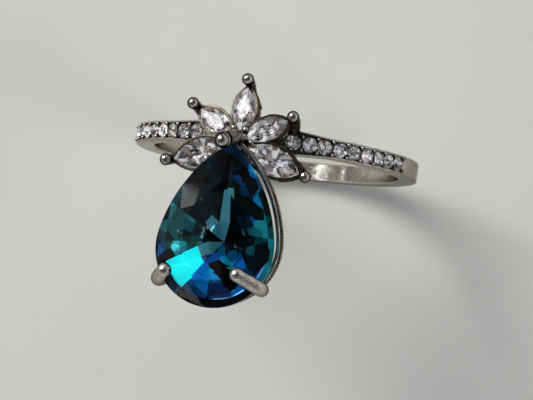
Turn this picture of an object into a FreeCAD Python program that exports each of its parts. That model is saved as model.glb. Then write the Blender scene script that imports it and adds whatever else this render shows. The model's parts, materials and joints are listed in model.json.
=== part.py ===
import FreeCAD, Part
import Sketcher
import math
import os

# Flower and pear cocktail ring, millimetres.
# Row frame: origin at the centre of the finger hole, finger axis along Y, head up along +Z.
# The ring is close to mirror-symmetric about X = 0: its pear is set a little to the right and turned
# a little, its two claws are bent differently, and its shoulder stones start at different places.
# The pear stone reaches out over the finger towards -Y, the flower fans towards +Y.

Vector = FreeCAD.Vector
X_AXIS = Vector(1, 0, 0)
Y_AXIS = Vector(0, 1, 0)
Z_AXIS = Vector(0, 0, 1)

SIZES = {
    # shank: US size 7
    "finger_radius": 8.65,
    "shank_outer_radius": 9.95,
    "shank_width": 1.30,
    "shoulder_width": 1.76,
    "shoulder_sweep": 76.0,
    "shoulder_flat": 2.6,
    "shoulder_end": 5.6,
    # stones on the shoulders
    "pave_diameter": 1.0,
    "pave_pitch": 6.35,
    "pave_first_right": 17.6,
    "pave_first_left": 16.1,
    "pave_sink": 0.10,
    "pave_bead_radius": 0.15,
    "pave_bead_offset": 0.44,
    # pear stone and its basket
    "pear_length": 10.79,
    "pear_width": 7.82,
    "pear_turn": 9.4,
    "pear_yaw": -0.77,
    "pear_tip_x": 0.18,
    "pear_tip_y": -0.957,
    "pear_tip_z": 14.8,
    "pear_lift": 2.85,
    "pear_crown": 1.15,
    "pear_girdle": 0.16,
    "pear_pavilion": 3.3,
    "rail_radius": 0.15,
    "rail_depth": 1.1,
    "rail_length": 10.67,
    "rail_width": 7.70,
    "milgrain_radius": 0.15,
    "milgrain_depth": 1.8,
    "milgrain_length": 10.6,
    "milgrain_width": 7.82,
    "rail_tip_gap": 0.32,
    "rail_tip_shift": 0.3,
    "base_rail_radius": 0.30,
    "base_ring_length": 5.0,
    "base_ring_width": 3.9,
    "base_rail_depth": 3.6,
    "claw_radius": 0.47,
    "claw_bend": 0.62,
    "strut_radius": 0.35,
    "strut_side": 0.55,
    "strut_back": 0.75,
    "strut_drop": 0.45,
    "strut_end_y": -5.45,
    "strut_end_z": 11.42,
    # flower
    "long_petal_length": 4.0,
    "long_petal_width": 2.0,
    "short_petal_length": 3.1,
    "short_petal_width": 1.55,
    "petal_dip": 12.0,
    "petal_crown": 0.32,
    "petal_girdle": 0.08,
    "petal_pavilion": 0.75,
    "collet_wall": 0.13,
    "collet_seat": 0.14,
    "collet_height": 1.1,
    "prong_wall": 0.20,
    "prong_reach": 1.1,
    "prong_top": -0.15,
    "post_radius": 0.34,
    "ball_radius": 0.40,
    "ball_reach": 0.30,
    "ball_rise": 0.60,
    # middle of the head
    "head_base_radius": 1.25,
    "head_base_top": 10.9,
    "centre_y": -0.55,
    "centre_foot_radius": 0.78,
    "centre_neck_radius": 0.54,
    "centre_neck_z": 13.6,
    "tip_ball_radius": 0.49,
    "tip_ball_x": -0.18,
    "tip_ball_y": -1.10,
    "tip_ball_z": 16.15,
    "hub_bead_radius": 0.24,
    "hub_bead_reach": 0.42,
    "hub_bead_rise": 0.12,
}

PAVE_PER_SIDE = 9

# proportions of the cuts: table to outline, and where the pear's point lies from its tip to its round end
TABLE_SHARE = 0.56
PEAR_HEART_SHARE = 0.90
ROUND_TABLE_SHARE = 0.29
ROUND_CROWN_SHARE = 0.16
ROUND_GIRDLE_SHARE = 0.06
ROUND_PAVILION_SHARE = 0.42
ROUND_CULET_SHARE = 0.02
# how many straight facets stand for each side of an outline
PEAR_SIDE_FACETS = 6
PEAR_ROUND_FACETS = 10
MARQUISE_SIDE_FACETS = 8
# the least volume, in cubic millimetres, that trimming the shoulders must take off
LEAST_TAPER_VOLUME = 0.05

# The claws stand in upright planes. Each: the plane's nearest point to the middle of the pear's round
# end (x, y), its heading in degrees, then foot, knee and tip as (distance out, height over the girdle).
CLAWS = {
    "left": {"near": (-0.465, 0.451), "heading": 225.9,
             "line": ((1.93, -3.6), (4.33, 0.0), (3.39, 0.72))},
    "right": {"near": (-0.307, -0.777), "heading": -21.6,
              "line": ((2.0, -3.6), (4.2, 0.0), (2.44, 1.16))},
}

# petal name: inner tip (x, y, z), azimuth in degrees, long stone or not, foot of its post
PETALS = {
    "lower_right": {"inner": (0.56, -1.07, 12.70), "azimuth": -18.5, "long": True,
                    "foot": (2.1, -0.5, 9.6)},
    "upper_right": {"inner": (0.38, -0.42, 12.52), "azimuth": 30.5, "long": False,
                    "foot": (2.95, 0.70, 9.42)},
    "top": {"inner": (0.0, 0.01, 12.40), "azimuth": 90.0, "long": False,
            "foot": (0.0, 0.55, 10.0)},
    "upper_left": {"inner": (-0.46, -0.35, 12.52), "azimuth": 148.0, "long": False,
                   "foot": (-2.95, 0.70, 9.42)},
    "lower_left": {"inner": (-0.56, -1.07, 12.70), "azimuth": 198.0, "long": True,
                   "foot": (-3.30, -0.45, 9.30)},
}

doc = FreeCAD.newDocument("cocktail_ring")
sheet = doc.addObject("Spreadsheet::Sheet", "sizes")
for row, (alias, value) in enumerate(SIZES.items(), start=1):
    sheet.set(f"A{row}", alias)
    sheet.set(f"B{row}", str(value))
    sheet.setAlias(f"B{row}", alias)
doc.recompute()

nodes = {}


def size(alias):
    """A driving dimension, read from the sheet."""
    return float(sheet.get(alias))


def keep(name, obj):
    """Name a finished object and list it as a node."""
    obj.Label = name
    nodes[name] = obj
    return obj


def primitive(kind, name, place, **bound):
    """A Part primitive whose sizes are expressions on the sheet."""
    obj = doc.addObject(f"Part::{kind}", name)
    for prop, expression in bound.items():
        obj.setExpression(prop, expression)
    obj.Placement = place
    return obj


def feature(name, shape, place=None):
    """A free shape, for pieces that no primitive or sketch describes."""
    obj = doc.addObject("Part::Feature", name)
    obj.Shape = shape
    if place:
        obj.Placement = place
    return obj


def fuse(name, parts):
    """One solid from overlapping parts."""
    obj = doc.addObject("Part::MultiFuse", name)
    obj.Shapes = parts
    return obj


def cut(name, base, tools):
    """Take the tools away from the base, so that neighbours meet face to face."""
    tool = tools[0]
    if len(tools) > 1:
        tool = fuse(name + "_tools", tools)
    obj = doc.addObject("Part::Cut", name)
    obj.Base = base
    obj.Tool = tool
    return obj


def origin_plane(body, role):
    """One of a body's own origin planes or axes."""
    return next(item for item in body.Origin.OriginFeatures if item.Role == role)


def new_sketch(body, name, role):
    """An empty sketch on one of the body's origin planes."""
    sketch = body.newObject("Sketcher::SketchObject", name)
    sketch.AttachmentSupport = [(origin_plane(body, role), "")]
    sketch.MapMode = "FlatFace"
    return sketch


def draw_polygon(sketch, corners):
    """A closed outline of straight lines."""
    count = len(corners)
    for index, corner in enumerate(corners):
        start = Vector(corner[0], corner[1], 0)
        end = Vector(*corners[(index + 1) % count], 0)
        sketch.addGeometry(Part.LineSegment(start, end), False)


def turn_about(axis, degrees):
    return FreeCAD.Rotation(axis, degrees)


# ---------------------------------------------------------------- shank

def band_sketch(body, name, width_alias):
    """The band's cross-section in the YZ plane, sized by its radii and its width."""
    sketch = new_sketch(body, name, "YZ_Plane")
    half = size(width_alias) / 2
    low = size("finger_radius")
    high = size("shank_outer_radius")
    draw_polygon(sketch, [(-half, low), (half, low), (half, high), (-half, high)])
    for line in range(4):
        sketch.addConstraint(Sketcher.Constraint("Coincident", line, 2, (line + 1) % 4, 1))
    sketch.addConstraint(Sketcher.Constraint("Horizontal", 2))
    sketch.addConstraint(Sketcher.Constraint("Vertical", 1))
    sketch.addConstraint(Sketcher.Constraint("Vertical", 3))
    sketch.addConstraint(Sketcher.Constraint("Symmetric", 0, 1, 0, 2, -2))
    driving = {
        "width": (Sketcher.Constraint("DistanceX", 0, 1, 0, 2, 2 * half), f"sizes.{width_alias}"),
        "bore": (Sketcher.Constraint("DistanceY", -1, 1, 0, 1, low), "sizes.finger_radius"),
        "outer": (Sketcher.Constraint("DistanceY", -1, 1, 2, 1, high), "sizes.shank_outer_radius"),
    }
    for label, (constraint, expression) in driving.items():
        index = sketch.addConstraint(constraint)
        sketch.renameConstraint(index, label)
        sketch.setExpression(f"Constraints.{label}", expression)
    return sketch


def shank_body():
    """A narrow band all round, with wider shoulders that taper away from the head."""
    body = doc.addObject("PartDesign::Body", "shank_body")
    band = body.newObject("PartDesign::Revolution", "band")
    band.Profile = band_sketch(body, "band_profile", "shank_width")
    band.ReferenceAxis = (band.Profile[0], ["H_Axis"])
    band.Angle = 360
    shoulders = body.newObject("PartDesign::Revolution", "shoulders")
    shoulders.Profile = band_sketch(body, "shoulder_profile", "shoulder_width")
    shoulders.ReferenceAxis = (shoulders.Profile[0], ["H_Axis"])
    shoulders.Midplane = True
    shoulders.setExpression("Angle", "sizes.shoulder_sweep")
    doc.recompute()
    full = body.Shape.Volume
    taper = body.newObject("PartDesign::Pocket", "shoulder_taper")
    taper.Profile = taper_sketch(body)
    taper.Length = 2 * size("shank_outer_radius")
    taper.Reversed = True
    doc.recompute()
    if body.Shape.Volume > full - LEAST_TAPER_VOLUME:
        raise RuntimeError("the shoulder taper cuts nothing")
    return body


def taper_sketch(body):
    """Four thin wedges in plan that trim the wide shoulders down to the narrow band."""
    sketch = new_sketch(body, "taper_plan", "XY_Plane")
    wide = size("shoulder_width") / 2
    narrow = size("shank_width") / 2
    inner = size("shoulder_flat")
    outer = size("shoulder_end")
    beyond = size("shank_outer_radius")
    for side in (-1, 1):
        for edge in (-1, 1):
            slope = [(inner, wide), (outer, narrow)]
            waste = [(beyond, narrow), (beyond, 2 * wide), (inner, 2 * wide)]
            corners = slope + waste
            points = [(side * x, edge * y) for x, y in corners]
            draw_polygon(sketch, points)
    return sketch


def pave_place(side, index):
    """Where one shoulder stone sits: its girdle centre, with its table facing out of the band."""
    first = size("pave_first_right") if side == "right" else size("pave_first_left")
    angle = first + index * size("pave_pitch")
    if side == "left":
        angle = -angle
    turn = turn_about(Y_AXIS, angle)
    radius = size("shank_outer_radius") - size("pave_sink")
    return FreeCAD.Placement(turn.multVec(Vector(0, 0, radius)), turn)


def pave_stone(name, place):
    """A small round brilliant: low crown, thin girdle, pointed pavilion."""
    half_girdle = size("pave_diameter") * ROUND_GIRDLE_SHARE / 2
    above = FreeCAD.Placement(Vector(0, 0, half_girdle), FreeCAD.Rotation())
    below = FreeCAD.Placement(Vector(0, 0, -half_girdle), FreeCAD.Rotation())
    below_down = FreeCAD.Placement(Vector(0, 0, -half_girdle), turn_about(X_AXIS, 180))
    parts = [
        primitive("Cone", name + "_crown", above, Radius1="sizes.pave_diameter / 2",
                  Radius2=f"sizes.pave_diameter * {ROUND_TABLE_SHARE}",
                  Height=f"sizes.pave_diameter * {ROUND_CROWN_SHARE}"),
        primitive("Cylinder", name + "_girdle", below, Radius="sizes.pave_diameter / 2",
                  Height=f"sizes.pave_diameter * {ROUND_GIRDLE_SHARE}"),
        primitive("Cone", name + "_pavilion", below_down, Radius1="sizes.pave_diameter / 2",
                  Radius2=f"sizes.pave_diameter * {ROUND_CULET_SHARE}",
                  Height=f"sizes.pave_diameter * {ROUND_PAVILION_SHARE}"),
    ]
    stone = fuse(name, parts)
    stone.Placement = place
    return stone


def pave_opening(name, place):
    """The round mouth cut above a shoulder stone's girdle."""
    mouth = primitive("Cylinder", name, place,
                      Radius="sizes.pave_diameter / 2", Height="sizes.pave_diameter")
    return mouth


def bead_group(name, side, tools):
    """Pairs of raised beads between neighbouring stones, along both edges of a shoulder."""
    beads = []
    for gap in range(PAVE_PER_SIDE + 1):
        middle = pave_place(side, gap - 0.5)
        for edge in (-1, 1):
            offset = Vector(0, edge * size("pave_bead_offset"), size("pave_sink"))
            spot = middle.multVec(offset)
            label = f"{name}_{gap}_{'front' if edge < 0 else 'back'}"
            beads.append(primitive("Sphere", label, FreeCAD.Placement(spot, middle.Rotation),
                                   Radius="sizes.pave_bead_radius"))
    group = doc.addObject("Part::Compound", name + "_raw")
    group.Links = beads
    return cut(name, group, tools)


# ---------------------------------------------------------------- cut stones

def pear_outline(length, width, turn_degrees):
    """Side arc, round bottom arc, side arc; the tip at the origin, the body towards -Y."""
    bottom_radius = width / 2
    centre = length - bottom_radius
    turn = math.radians(turn_degrees)
    lean = math.sin(turn)
    side_radius = bottom_radius ** 2 + centre ** 2 - 2 * centre * bottom_radius * lean
    side_radius /= 2 * (bottom_radius - centre * lean)
    shift = bottom_radius - side_radius
    side_x = shift * math.cos(turn)
    side_y = centre - shift * lean
    start = math.atan2(-side_y, -side_x)
    return {"radius": bottom_radius, "centre": centre, "turn": turn,
            "side_radius": side_radius, "side_x": side_x, "side_y": side_y, "start": start}


def pear_points(outline, per_side, per_bottom):
    """Points on the pear outline, clockwise from the tip as seen from above."""
    right = []
    for step in range(per_side):
        angle = outline["start"] + (-outline["turn"] - outline["start"]) * step / per_side
        right.append((outline["side_x"] + outline["side_radius"] * math.cos(angle),
                      -outline["side_y"] - outline["side_radius"] * math.sin(angle)))
    bottom = []
    for step in range(per_bottom + 1):
        angle = -outline["turn"] + (math.pi + 2 * outline["turn"]) * step / per_bottom
        bottom.append((outline["radius"] * math.cos(angle),
                       -outline["centre"] - outline["radius"] * math.sin(angle)))
    left = [(-x, y) for x, y in reversed(right[1:])]
    return right + bottom + left


def pear_wire(outline, tip_gap):
    """The pear outline as arcs, open by a small gap at its tip."""
    def side_point(angle, sign):
        return Vector(sign * (outline["side_x"] + outline["side_radius"] * math.cos(angle)),
                      -outline["side_y"] - outline["side_radius"] * math.sin(angle), 0)
    start = outline["start"] + tip_gap / outline["side_radius"]
    end = -outline["turn"]
    right = Part.Arc(side_point(start, 1), side_point((start + end) / 2, 1), side_point(end, 1))
    lowest = Vector(0, -outline["centre"] - outline["radius"], 0)
    bottom = Part.Arc(side_point(end, 1), lowest, side_point(end, -1))
    left = Part.Arc(side_point(end, -1), side_point((start + end) / 2, -1), side_point(start, -1))
    return Part.Wire([arc.toShape() for arc in (right, bottom, left)])


def marquise_points(length, width, per_side):
    """Points on a marquise outline from its inner tip at the origin along +X, round both sides."""
    radius = (length ** 2 + width ** 2) / (4 * width)
    half = math.asin(length / 2 / radius)
    upper = []
    for step in range(per_side + 1):
        angle = -half + 2 * half * step / per_side
        out = radius * math.cos(angle) - radius + width / 2
        upper.append((length / 2 + radius * math.sin(angle), out))
    lower = [(x, -y) for x, y in reversed(upper[1:-1])]
    return upper + lower


def marquise_wire(length, width, grow):
    """A marquise outline as two arcs, grown outwards by a margin."""
    radius = (length ** 2 + width ** 2) / (4 * width) + grow
    rise = radius - width / 2 - grow
    half = math.sqrt(radius ** 2 - rise ** 2)
    first = Vector(length / 2 - half, 0, 0)
    last = Vector(length / 2 + half, 0, 0)
    top = Vector(length / 2, width / 2 + grow, 0)
    low = Vector(length / 2, -width / 2 - grow, 0)
    return Part.Wire([Part.Arc(first, top, last).toShape(), Part.Arc(last, low, first).toShape()])


def faceted_solid(points, heart, table_scale, crown, girdle, pavilion):
    """A cut stone: flat table, crown facets, upright girdle, pavilion facets down to one point."""
    def ring(scale, height):
        return [Vector(heart[0] + (x - heart[0]) * scale, heart[1] + (y - heart[1]) * scale, height)
                for x, y in points]
    table = ring(table_scale, crown)
    upper = ring(1.0, girdle / 2)
    lower = ring(1.0, -girdle / 2)
    culet = Vector(heart[0], heart[1], -pavilion)
    faces = [Part.Face(Part.makePolygon(table + [table[0]]))]
    count = len(points)
    for index in range(count):
        after = (index + 1) % count
        corners = [
            (table[index], upper[index], upper[after]),
            (table[index], upper[after], table[after]),
            (upper[index], lower[index], lower[after]),
            (upper[index], lower[after], upper[after]),
            (lower[index], culet, lower[after]),
        ]
        for triangle in corners:
            faces.append(Part.Face(Part.makePolygon(list(triangle) + [triangle[0]])))
    solid = Part.Solid(Part.Shell(faces))
    if solid.Volume < 0:
        solid.reverse()
    return solid


# ---------------------------------------------------------------- pear and its basket

def pear_place(depth=0.0):
    """The pear's girdle plane, its tip at the origin, sunk by a depth along its own normal."""
    turn = turn_about(X_AXIS, -size("pear_lift")).multiply(turn_about(Z_AXIS, size("pear_yaw")))
    tip = Vector(size("pear_tip_x"), size("pear_tip_y"), size("pear_tip_z"))
    return FreeCAD.Placement(tip + turn.multVec(Vector(0, 0, -depth)), turn)


def pear_girdle():
    return pear_outline(size("pear_length"), size("pear_width"), size("pear_turn"))


def pear_stone(name):
    outline = pear_girdle()
    points = pear_points(outline, PEAR_SIDE_FACETS, PEAR_ROUND_FACETS)
    heart = (0, -outline["centre"] * PEAR_HEART_SHARE)
    solid = faceted_solid(points, heart, TABLE_SHARE,
                          size("pear_crown"), size("pear_girdle"), size("pear_pavilion"))
    return feature(name, solid, pear_place())


def swept_wire(wire, wire_radius, closed):
    """A round wire along a path."""
    start = wire.Edges[0].valueAt(wire.Edges[0].FirstParameter)
    heading = wire.Edges[0].tangentAt(wire.Edges[0].FirstParameter)
    section = Part.Wire(Part.makeCircle(wire_radius, start, heading))
    tube = wire.makePipeShell([section], not closed, False)
    if closed:
        tube = Part.Solid(Part.Shell(tube.Faces))
    return tube


def pear_rail(name, kind):
    """A round wire bent to a pear outline below the girdle, its two ends inside the centre post."""
    outline = pear_outline(size(kind + "_length"), size(kind + "_width"), size("pear_turn"))
    wire = pear_wire(outline, size("rail_tip_gap"))
    place = pear_place(size(kind + "_depth"))
    place.Base += Vector(0, size("rail_tip_shift"), 0)
    return feature(name, swept_wire(wire, size(kind + "_radius"), False), place)


def base_ring(name):
    """A small oval ring under the pear's point."""
    oval = Part.Ellipse(Vector(0, 0, 0), size("base_ring_length") / 2, size("base_ring_width") / 2)
    place = pear_place(size("base_rail_depth"))
    middle = FreeCAD.Placement(Vector(0, -pear_girdle()["centre"], 0), turn_about(Z_AXIS, 90))
    return feature(name, swept_wire(Part.Wire(oval.toShape()), size("base_rail_radius"), True),
                   place.multiply(middle))


def bent_path(sketch, points, radius):
    """Straight runs joined by tangent arcs of one radius."""
    vectors = [Vector(x, y, 0) for x, y in points]
    start = vectors[0]
    for before, corner, after in zip(vectors, vectors[1:], vectors[2:]):
        first = (before - corner).normalize()
        second = (after - corner).normalize()
        half = first.getAngle(second) / 2
        reach = radius / math.tan(half)
        middle = corner + (first + second).normalize() * (radius / math.sin(half) - radius)
        begin = corner + first * reach
        end = corner + second * reach
        sketch.addGeometry(Part.LineSegment(start, begin), False)
        sketch.addGeometry(Part.Arc(begin, middle, end), False)
        start = end
    sketch.addGeometry(Part.LineSegment(start, vectors[-1]), False)


def round_section(body, name, alias, centre, direction):
    """A circle across the start of a path, on a plane square to it."""
    plane = body.newObject("PartDesign::Plane", name + "_plane")
    turn = FreeCAD.Rotation(Z_AXIS, direction)
    plane.AttachmentSupport = [(origin_plane(body, "XY_Plane"), "")]
    plane.MapMode = "FlatFace"
    plane.AttachmentOffset = FreeCAD.Placement(centre, turn)
    sketch = body.newObject("Sketcher::SketchObject", name)
    sketch.AttachmentSupport = [(plane, "")]
    sketch.MapMode = "FlatFace"
    sketch.addGeometry(Part.Circle(Vector(0, 0, 0), Z_AXIS, size(alias)), False)
    sketch.addConstraint(Sketcher.Constraint("Coincident", 0, 3, -1, 1))
    index = sketch.addConstraint(Sketcher.Constraint("Radius", 0, size(alias)))
    sketch.renameConstraint(index, "wire")
    sketch.setExpression("Constraints.wire", f"sizes.{alias}")
    return sketch


def wire_body(name, points, bend, alias):
    """A bent round wire in its body's XZ plane, with a round end at its last point."""
    body = doc.addObject("PartDesign::Body", name)
    path = new_sketch(body, name + "_path", "XZ_Plane")
    bent_path(path, points, bend)
    centre = Vector(points[0][0], 0, points[0][1])
    direction = Vector(points[1][0] - points[0][0], 0, points[1][1] - points[0][1])
    section = round_section(body, name + "_section", alias, centre, direction)
    doc.recompute()
    pipe = body.newObject("PartDesign::AdditivePipe", name + "_wire")
    pipe.Profile = section
    pipe.Spine = (path, [])
    doc.recompute()
    end = body.newObject("PartDesign::AdditiveSphere", name + "_end")
    end.setExpression("Radius", f"sizes.{alias}")
    end.Placement = FreeCAD.Placement(Vector(points[-1][0], 0, points[-1][1]), FreeCAD.Rotation())
    doc.recompute()
    return body


def claw(name, shape):
    """A stout claw: a leg from the base rail, up past the girdle, bent down onto the crown."""
    body = wire_body(name, shape["line"], size("claw_bend"), "claw_radius")
    near = Vector(shape["near"][0], shape["near"][1] - pear_girdle()["centre"], 0)
    body.Placement = pear_place().multiply(FreeCAD.Placement(near, turn_about(Z_AXIS, shape["heading"])))
    return body


def strut(name, start, end):
    """A straight round bar from the head base to the basket's base rail."""
    run = end - start
    place = FreeCAD.Placement(start, FreeCAD.Rotation(Z_AXIS, run))
    bar = primitive("Cylinder", name, place, Radius="sizes.strut_radius")
    bar.Height = run.Length
    return bar


# ---------------------------------------------------------------- flower

def petal_sizes(petal):
    kind = "long" if petal["long"] else "short"
    return size(f"{kind}_petal_length"), size(f"{kind}_petal_width")


def petal_place(petal):
    """Frame of one petal: origin at its inner tip, +X along the stone, +Z out of its table."""
    turn = turn_about(Z_AXIS, petal["azimuth"]).multiply(turn_about(Y_AXIS, size("petal_dip")))
    return FreeCAD.Placement(Vector(*petal["inner"]), turn)


def petal_stone(name, petal):
    length, width = petal_sizes(petal)
    points = marquise_points(length, width, MARQUISE_SIDE_FACETS)
    solid = faceted_solid(points, (length / 2, 0), TABLE_SHARE,
                          size("petal_crown"), size("petal_girdle"), size("petal_pavilion") * width / 2)
    return feature(name, solid, petal_place(petal))


def petal_collet(name, petal):
    """A thin-walled boat under the stone, open in the middle."""
    length, width = petal_sizes(petal)
    outer = Part.Face(marquise_wire(length, width, size("collet_wall")))
    inner = Part.Face(marquise_wire(length, width, -size("collet_seat")))
    height = size("collet_height")
    wall = outer.extrude(Vector(0, 0, -height)).cut(inner.extrude(Vector(0, 0, -height)))
    return feature(name, wall, petal_place(petal))


def petal_prong(name, petal):
    """The thick V round a stone's outer point, from just under the girdle down to the collet's foot."""
    length, width = petal_sizes(petal)
    foot = size("collet_height")
    top = size("prong_top")
    block = Part.Face(marquise_wire(length, width, size("prong_wall"))).extrude(Vector(0, 0, -foot - top))
    block.translate(Vector(0, 0, top))
    end = Part.makeBox(length, 2 * width, foot + top, Vector(length - size("prong_reach"), -width, -foot))
    return feature(name, block.common(end), petal_place(petal))


def petal_post(name, petal):
    """A curved post from the shank up past the stone's outer tip, with a ball on its end."""
    length, _ = petal_sizes(petal)
    ball = petal_place(petal).multVec(Vector(length + size("ball_reach"), 0, size("ball_rise")))
    foot = Vector(*petal["foot"])
    run = Vector(ball.x - foot.x, ball.y - foot.y, 0)
    reach = run.Length
    rise = ball.z - foot.z
    bow = (reach ** 2 + rise ** 2) / (2 * reach)
    sweep = math.atan2(rise, bow - reach)
    body = doc.addObject("PartDesign::Body", name)
    path = new_sketch(body, name + "_path", "XZ_Plane")
    middle = -sweep / 2
    centre = (reach - bow, rise)
    path.addGeometry(Part.Arc(
        Vector(0, 0, 0),
        Vector(centre[0] + bow * math.cos(middle), centre[1] + bow * math.sin(middle), 0),
        Vector(reach, rise, 0)), False)
    heading = Vector(rise, 0, bow - reach)
    section = round_section(body, name + "_section", "post_radius", Vector(0, 0, 0), heading)
    doc.recompute()
    pipe = body.newObject("PartDesign::AdditivePipe", name + "_wire")
    pipe.Profile = section
    pipe.Spine = (path, [])
    doc.recompute()
    end = body.newObject("PartDesign::AdditiveSphere", name + "_ball")
    end.setExpression("Radius", "sizes.ball_radius")
    end.Placement = FreeCAD.Placement(Vector(reach, 0, rise), FreeCAD.Rotation())
    azimuth = math.degrees(math.atan2(run.y, run.x))
    body.Placement = FreeCAD.Placement(foot, turn_about(Z_AXIS, azimuth))
    doc.recompute()
    return body


# ---------------------------------------------------------------- assembly

shank_blank = shank_body()

stones = {}
mouths = []
for side_name in ("left", "right"):
    for number in range(PAVE_PER_SIDE):
        node = f"pave_stone_{side_name}_{number + 1}"
        spot = pave_place(side_name, number)
        stones[node] = keep(node, pave_stone(node, spot))
        mouths.append(pave_opening(f"mouth_{side_name}_{number + 1}", spot))
pave_tools = list(stones.values()) + mouths

pear = keep("pear_stone", pear_stone("pear_stone"))
petal_gems = {}
for petal_name, petal_data in PETALS.items():
    node = f"petal_stone_{petal_name}"
    petal_gems[petal_name] = keep(node, petal_stone(node, petal_data))

posts = {}
for petal_name, petal_data in PETALS.items():
    arm = petal_post(f"arm_{petal_name}", petal_data)
    prong = petal_prong(f"prong_{petal_name}", petal_data)
    posts[petal_name] = fuse(f"post_{petal_name}_raw", [arm, prong])

keep("shank", cut("shank", shank_blank, pave_tools))
for side_name in ("left", "right"):
    node = f"pave_beads_{side_name}"
    neighbours = [stones[f"pave_stone_{side_name}_{number + 1}"] for number in range(PAVE_PER_SIDE)]
    keep(node, bead_group(node, side_name, [shank_blank] + neighbours))

head_base_foot = Vector(0, size("centre_y"), size("finger_radius"))
head_base_raw = primitive("Cylinder", "head_base_raw",
                          FreeCAD.Placement(head_base_foot, FreeCAD.Rotation()),
                          Radius="sizes.head_base_radius", Height="sizes.head_base_top - sizes.finger_radius")
saddle_cut = primitive("Cylinder", "saddle_cut",
                       FreeCAD.Placement(Vector(0, size("finger_radius"), 0), turn_about(X_AXIS, 90)),
                       Radius="sizes.shank_outer_radius", Height="2 * sizes.finger_radius")
head_base = keep("head_base", cut("head_base", head_base_raw, [saddle_cut]))

centre_start = Vector(0, size("centre_y"), size("head_base_top"))
centre_foot = primitive("Cone", "centre_foot",
                        FreeCAD.Placement(centre_start, FreeCAD.Rotation()),
                        Radius1="sizes.centre_foot_radius", Radius2="sizes.centre_neck_radius",
                        Height="sizes.centre_neck_z - sizes.head_base_top")
neck_start = Vector(0, size("centre_y"), size("centre_neck_z"))
ball_centre = Vector(size("tip_ball_x"), size("tip_ball_y"), size("tip_ball_z"))
neck_run = ball_centre - neck_start
centre_neck = primitive("Cylinder", "centre_neck",
                        FreeCAD.Placement(neck_start, FreeCAD.Rotation(Z_AXIS, neck_run)),
                        Radius="sizes.centre_neck_radius")
centre_neck.Height = neck_run.Length
centre_elbow = primitive("Sphere", "centre_elbow", FreeCAD.Placement(neck_start, FreeCAD.Rotation()),
                         Radius="sizes.centre_neck_radius")
tip_ball = primitive("Sphere", "tip_ball", FreeCAD.Placement(ball_centre, FreeCAD.Rotation()),
                     Radius="sizes.tip_ball_radius")
centre_raw = fuse("centre_raw", [centre_foot, centre_neck, centre_elbow, tip_ball])
rails = [
    keep("pear_upper_rail", pear_rail("pear_upper_rail", "rail")),
    keep("pear_milgrain_rail", pear_rail("pear_milgrain_rail", "milgrain")),
]
centre_tools = [pear] + rails + list(petal_gems.values())
centre_post = keep("centre_post", cut("centre_post", centre_raw, centre_tools))

base_node = keep("pear_base_rail", base_ring("pear_base_rail"))
for side_name, claw_shape in CLAWS.items():
    claw_raw = claw(f"claw_{side_name}_raw", claw_shape)
    keep(f"claw_{side_name}", cut(f"claw_{side_name}", claw_raw, [pear, base_node] + rails))

for side_name, sign in (("left", -1), ("right", 1)):
    across = sign * size("strut_side")
    strut_start = Vector(across, size("centre_y") - size("strut_back"),
                         size("head_base_top") - size("strut_drop"))
    strut_end = Vector(across, size("strut_end_y"), size("strut_end_z"))
    bar = strut(f"basket_strut_{side_name}_raw", strut_start, strut_end)
    node = f"basket_strut_{side_name}"
    keep(node, cut(node, bar, [head_base, base_node]))

built = [centre_post]
for petal_name, petal_data in PETALS.items():
    post_node = f"post_{petal_name}"
    tools = [petal_gems[petal_name], shank_blank, head_base]
    posts[petal_name] = keep(post_node, cut(post_node + "_fitted", posts[petal_name], tools))
for petal_name, petal_data in PETALS.items():
    node = f"collet_{petal_name}"
    raw = petal_collet(node + "_raw", petal_data)
    tools = list(petal_gems.values()) + [posts[petal_name], pear] + built
    collet = keep(node, cut(node, raw, tools))
    built.append(collet)

hub_beads = []
order = list(PETALS)
for first, second in zip(order, order[1:]):
    reach = Vector(size("hub_bead_reach"), 0, size("hub_bead_rise"))
    one = petal_place(PETALS[first]).multVec(reach)
    other = petal_place(PETALS[second]).multVec(reach)
    hub_beads.append(primitive("Sphere", f"hub_bead_{first}_{second}",
                               FreeCAD.Placement((one + other) / 2, FreeCAD.Rotation()),
                               Radius="sizes.hub_bead_radius"))
hub_group = doc.addObject("Part::Compound", "hub_beads_raw")
hub_group.Links = hub_beads
keep("hub_beads", cut("hub_beads", hub_group, list(petal_gems.values()) + [pear] + built))

doc.recompute()

# ---------------------------------------------------------------- checks and export

for obj in doc.Objects:
    if "Invalid" in obj.State or "Error" in obj.State:
        raise RuntimeError(f"{obj.Name} failed: {obj.State}")
os.makedirs("parts", exist_ok=True)
for name, obj in nodes.items():
    shape = obj.Shape
    if shape.isNull() or not shape.isValid() or not shape.Solids:
        raise RuntimeError(f"{name} has no valid solid")
    shape.exportStep(f"parts/{name}.step")
    print(f"{name:28s} solids {len(shape.Solids):2d}  volume {shape.Volume:9.4f}")
print(len(nodes), "nodes")
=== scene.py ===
import json
import math
import random

import bmesh
import bpy
from mathutils import Matrix, Vector


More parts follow.
